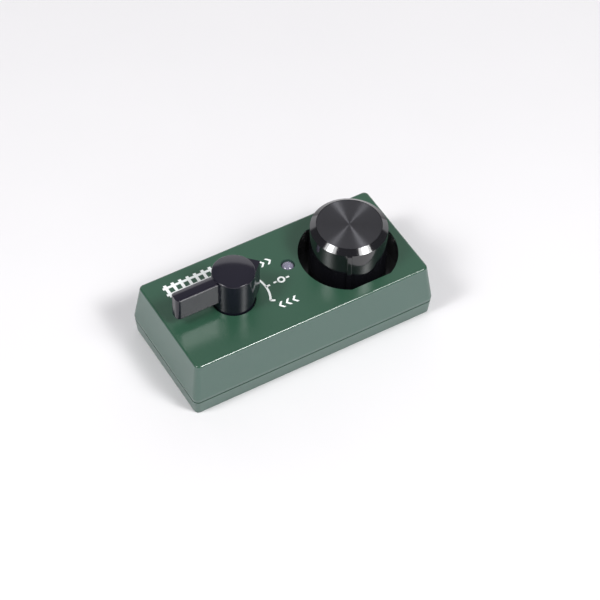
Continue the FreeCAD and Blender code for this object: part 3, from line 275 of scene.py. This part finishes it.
# what surface() is given for each material slot that has no function of its own
PLAIN_FINISHES = {
    "control_black": dict(color=(0.006, 0.006, 0.008), roughness=0.09, mottle=0.05, rough_spread=0.03,
                          Specular_IOR_Level=0.9),
    "lever_dark": dict(color=(0.009, 0.008, 0.016), roughness=0.15, mottle=0.05, rough_spread=0.02,
                       grain=0.001, Specular_IOR_Level=0.55),
    "well_black": dict(color=(0.036, 0.037, 0.038), roughness=0.24, mottle=0.05, Specular_IOR_Level=1.0),
    "lens_clear": dict(color=(0.44, 0.42, 0.56), roughness=0.10, mottle=0.0, rough_spread=0.02,
                       Transmission_Weight=0.55, IOR=1.5),
    "screw_steel": dict(color=(0.50, 0.50, 0.52), roughness=0.32, metallic=1.0, grain=0.004, grain_size=0.2),
    "bright_plate": dict(color=(0.70, 0.70, 0.69), roughness=0.20, metallic=1.0, grain=0.002, grain_size=0.5),
    "tinned_wire": dict(color=(0.60, 0.60, 0.61), roughness=0.28, metallic=1.0, grain=0.003, grain_size=0.3),
    "contact_brass": dict(color=(0.66, 0.46, 0.17), roughness=0.28, metallic=1.0, grain=0.003,
                          grain_size=0.4),
    "board_copper": dict(color=(0.75, 0.44, 0.26), roughness=0.30, metallic=1.0, grain=0.003, grain_size=0.6),
    "spring_steel": dict(color=(0.46, 0.46, 0.48), roughness=0.22, metallic=1.0, grain=0.002, grain_size=0.3),
    "battery_can": dict(color=(0.03, 0.03, 0.034), roughness=0.30, grain=0.004, grain_size=2.0),
    "board_laminate": dict(color=(0.030, 0.130, 0.060), roughness=0.30, grain=0.010, grain_size=0.5),
    "phenolic": dict(color=(0.22, 0.10, 0.04), roughness=0.55, grain=0.008, grain_size=0.6),
    "carbon_track": dict(color=(0.02, 0.02, 0.02), roughness=0.60, grain=0.004, grain_size=0.2),
    "moulded_white": dict(color=(0.68, 0.67, 0.62), roughness=0.40, grain=0.004, grain_size=0.5),
    "black_epoxy": dict(color=(0.012, 0.012, 0.013), roughness=0.45, grain=0.012, grain_size=0.25),
    "capacitor_sleeve": dict(color=(0.010, 0.018, 0.070), roughness=0.20, grain=0.003),
    "fuse_coating": dict(color=(0.62, 0.30, 0.02), roughness=0.25, grain=0.020, grain_size=1.2),
    "resistor_coating": dict(color=(0.50, 0.36, 0.20), roughness=0.30, grain=0.012, grain_size=0.9),
    "lead_red": dict(color=(0.45, 0.012, 0.012), roughness=0.38, grain=0.004),
    "lead_black": dict(color=(0.012, 0.012, 0.012), roughness=0.38, grain=0.004),
    "lead_white": dict(color=(0.74, 0.74, 0.71), roughness=0.38, grain=0.004),
    "lead_yellow": dict(color=(0.70, 0.48, 0.02), roughness=0.38, grain=0.004),
    "lead_green": dict(color=(0.02, 0.26, 0.06), roughness=0.38, grain=0.004),
}


def paint_frame():
    """Gives every CAD node the finish of its material slot, and returns the finishes by slot."""
    finishes = {slot: surface(slot, **look) for slot, look in PLAIN_FINISHES.items()}
    finishes["case_green"] = moulded_case()
    finishes["spun_black"] = spun_metal()
    for part in frame["record"]["subparts"]:
        mesh = NODES[part["node"]].data
        mesh.materials.clear()
        mesh.materials.append(finishes[part["material_slot"]])
    return finishes


# ---------------------------------------------------------------- mesh helpers
def mesh_object(name, verts, faces, finish, body, smooth_angle=None):
    """A new piece that rides on a body; smooth_angle, in degrees, is the least angle of a sharp edge."""
    mesh = bpy.data.meshes.new(name)
    mesh.from_pydata([tuple(v) for v in verts], [], faces)
    mesh.validate()
    bm = bmesh.new()
    bm.from_mesh(mesh)
    bmesh.ops.recalc_face_normals(bm, faces=bm.faces)
    bm.to_mesh(mesh)
    bm.free()
    if smooth_angle is not None:
        for face in mesh.polygons:
            face.use_smooth = True
        mesh.set_sharp_from_angle(angle=math.radians(smooth_angle))
    mesh.materials.append(finish)
    made = bpy.data.objects.new(name, mesh)
    bpy.context.scene.collection.objects.link(made)
    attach(made, body)
    return made


def lathe(profile, centre, segments):
    """Vertices and faces of a closed (radius, z) outline turned about the vertical line through centre.

    The outline starts and ends on the axis."""
    verts, faces, rings = [], [], []
    for radius, z in profile:
        if radius == 0:
            rings.append([len(verts)] * segments)
            verts.append((centre.x, centre.y, z))
            continue
        start = len(verts)
        for k in range(segments):
            turn = 2 * math.pi * k / segments
            verts.append((centre.x + radius * math.cos(turn), centre.y + radius * math.sin(turn), z))
        rings.append(list(range(start, start + segments)))
    for low, high in zip(rings, rings[1:]):
        for k in range(segments):
            corners = [low[k], low[(k + 1) % segments], high[(k + 1) % segments], high[k]]
            faces.append(tuple(dict.fromkeys(corners)))
    return verts, faces


def prism(outlines, z0, z1):
    """Vertices and faces of flat pieces that share one height, one for each closed (x, y) outline."""
    verts, faces = [], []
    for outline in outlines:
        n, start = len(outline), len(verts)
        verts += [(x, y, z0) for x, y in outline] + [(x, y, z1) for x, y in outline]
        faces.append(tuple(start + k for k in reversed(range(n))))
        faces.append(tuple(start + n + k for k in range(n)))
        faces += [(start + k, start + (k + 1) % n, start + n + (k + 1) % n, start + n + k) for k in range(n)]
    return verts, faces


# ---------------------------------------------------------------- spun disc in the knob's top
GROOVES, GROOVE_DEPTH, DISC_HUB = 30, 0.010 * MM, 0.3 * MM
DISC_CHAMFER, DISC_SEGMENTS, DISC_SMOOTH_ANGLE = 0.12 * MM, 160, 20


def make_spun_disc(finish):
    """The knob's metal disc with its turned grooves, a shade deeper than they would be."""
    rim = (CAP_HIGH.x - CAP_LOW.x) / 2
    flat = rim - DISC_CHAMFER
    profile = [(0, CAP_LOW.z), (rim, CAP_LOW.z), (rim, CAP_HIGH.z - DISC_CHAMFER), (flat, CAP_HIGH.z)]
    pitch = (flat - DISC_HUB) / GROOVES
    for k in range(GROOVES):
        outer = flat - k * pitch
        profile.append((outer - pitch / 2, CAP_HIGH.z - GROOVE_DEPTH))
        profile.append((outer - pitch, CAP_HIGH.z))
    profile.append((0, CAP_HIGH.z))
    verts, faces = lathe(profile, KNOB, DISC_SEGMENTS)
    disc = mesh_object("spun_disc", verts, faces, finish, "speed_knob", DISC_SMOOTH_ANGLE)
    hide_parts("knob_cap")


# ---------------------------------------------------------------- printed marks
PRINT_PROUD, PRINT_SUNK = 0.03 * MM, 0.01 * MM
# the marks' sizes and places on the top face, in millimetres and degrees
SCALE_RADIUS, SCALE_STROKE, TICK_REACH, SCALE_TURN = 13.5, 0.85, 15.3, 30.0
SCALE_X, SCALE_Y = LEVER.x / MM, LEVER.y / MM - 0.9
MARK_HEIGHT, MARK_STROKE, MARK_PITCH = 3.1, 0.75, 2.9
CHEVRONS, FORWARD_X, FORWARD_Y, BACK_X, BACK_Y = 3, -7.2, 9.9, -7.6, -11.6
OFF_X, OFF_Y, DASH_NEAR, DASH_FAR = -1.65, -0.65, 2.1, 3.4
EMBLEM_LEFT, EMBLEM_RIGHT, EMBLEM_Y = -43.2, -21.2, 15.2
RAIL_OFFSET, RAIL_WIDTH = 1.7, 1.1
SLEEPERS, SLEEPER_INSET, SLEEPER_WIDTH = 7, 1.4, 1.25
# where a sleeper shows beside and between the rails, measured from the middle of the track
SLEEPER_SPANS = ((-3.2, -2.25), (-1.15, 1.15), (2.25, 3.2))
# how far a chevron's point reaches, as a share of its height, and its slant ends, as a share of its stroke
CHEVRON_REACH, CHEVRON_LEAN = 0.42, 1.25


def arc_points(cx, cy, radius, start, end, steps):
    turns = [math.radians(start + (end - start) * k / steps) for k in range(steps + 1)]
    return [(cx + radius * math.cos(t), cy + radius * math.sin(t)) for t in turns]


def band(cx, cy, radius, width, start, end, steps=24):
    """The outline of a curved stroke."""
    outer = arc_points(cx, cy, radius + width / 2, start, end, steps)
    return outer + arc_points(cx, cy, radius - width / 2, end, start, steps)


def stroke(x0, y0, x1, y1, width):
    """The outline of a straight stroke."""
    along = Vector((x1 - x0, y1 - y0)).normalized()
    side = Vector((-along.y, along.x)) * width / 2
    return [(x0 + side.x, y0 + side.y), (x0 - side.x, y0 - side.y), (x1 - side.x, y1 - side.y),
            (x1 + side.x, y1 + side.y)]


def chevron(x, y, height, width, point):
    """An arrowhead of even thickness that points towards +X (point 1) or -X (point -1)."""
    reach, half = height * CHEVRON_REACH * point, height / 2
    lean = width * CHEVRON_LEAN * point
    return [(x, y + half), (x + reach, y), (x, y - half),
            (x - lean, y - half), (x + reach - lean, y), (x - lean, y + half)]


def lever_scale():
    """The arc round the lever with a tick at each of its three positions."""
    lines = [band(SCALE_X, SCALE_Y, SCALE_RADIUS, SCALE_STROKE, -SCALE_TURN, SCALE_TURN)]
    for angle in (-SCALE_TURN, 0, SCALE_TURN):
        turn = math.radians(angle)
        lines.append(stroke(SCALE_X + SCALE_RADIUS * math.cos(turn), SCALE_Y + SCALE_RADIUS * math.sin(turn),
                            SCALE_X + TICK_REACH * math.cos(turn), SCALE_Y + TICK_REACH * math.sin(turn),
                            SCALE_STROKE))
    return lines


def position_marks():
    """Arrowheads for forwards and backwards, and a ring between two dashes for off."""
    shapes = []
    for k in range(CHEVRONS):
        shapes.append(chevron(FORWARD_X + MARK_PITCH * k, FORWARD_Y, MARK_HEIGHT, MARK_STROKE, 1))
        shapes.append(chevron(BACK_X + MARK_PITCH * k, BACK_Y, MARK_HEIGHT, MARK_STROKE, -1))
    radius = (MARK_HEIGHT - MARK_STROKE) / 2
    shapes.append(band(OFF_X, OFF_Y, radius, MARK_STROKE, 0, 180))
    shapes.append(band(OFF_X, OFF_Y, radius, MARK_STROKE, 180, 360))
    for side in (-1, 1):
        shapes.append(stroke(OFF_X + side * DASH_NEAR, OFF_Y, OFF_X + side * DASH_FAR, OFF_Y, MARK_STROKE))
    return shapes


def track_emblem():
    """A plain piece of railway track: two rails over a row of sleepers."""
    shapes = [stroke(EMBLEM_LEFT, EMBLEM_Y + dy, EMBLEM_RIGHT, EMBLEM_Y + dy, RAIL_WIDTH)
              for dy in (-RAIL_OFFSET, RAIL_OFFSET)]
    first, last = EMBLEM_LEFT + SLEEPER_INSET, EMBLEM_RIGHT - SLEEPER_INSET
    for k in range(SLEEPERS):
        x = first + (last - first) * k / (SLEEPERS - 1)
        shapes += [stroke(x, EMBLEM_Y + y0, x, EMBLEM_Y + y1, SLEEPER_WIDTH) for y0, y1 in SLEEPER_SPANS]
    return shapes


def make_prints():
    white = surface("print_white", (0.90, 0.94, 0.92), 0.50, mottle=0.04, mottle_size=0.8, grain=0.004)
    for name, outlines in (("lever_scale", lever_scale()), ("position_marks", position_marks()),
                           ("track_emblem", track_emblem())):
        outlines = [[(x * MM, y * MM) for x, y in outline] for outline in outlines]
        verts, faces = prism(outlines, FACE_Z - PRINT_SUNK, FACE_Z + PRINT_PROUD)
        mesh_object(name, verts, faces, white, "case")


# ---------------------------------------------------------------- the scene
make_camera()
make_world()
make_floor()
make_lights()
finishes = paint_frame()
make_spun_disc(finishes["spun_black"])
make_prints()
bpy.context.scene.view_settings.view_transform = "Standard"
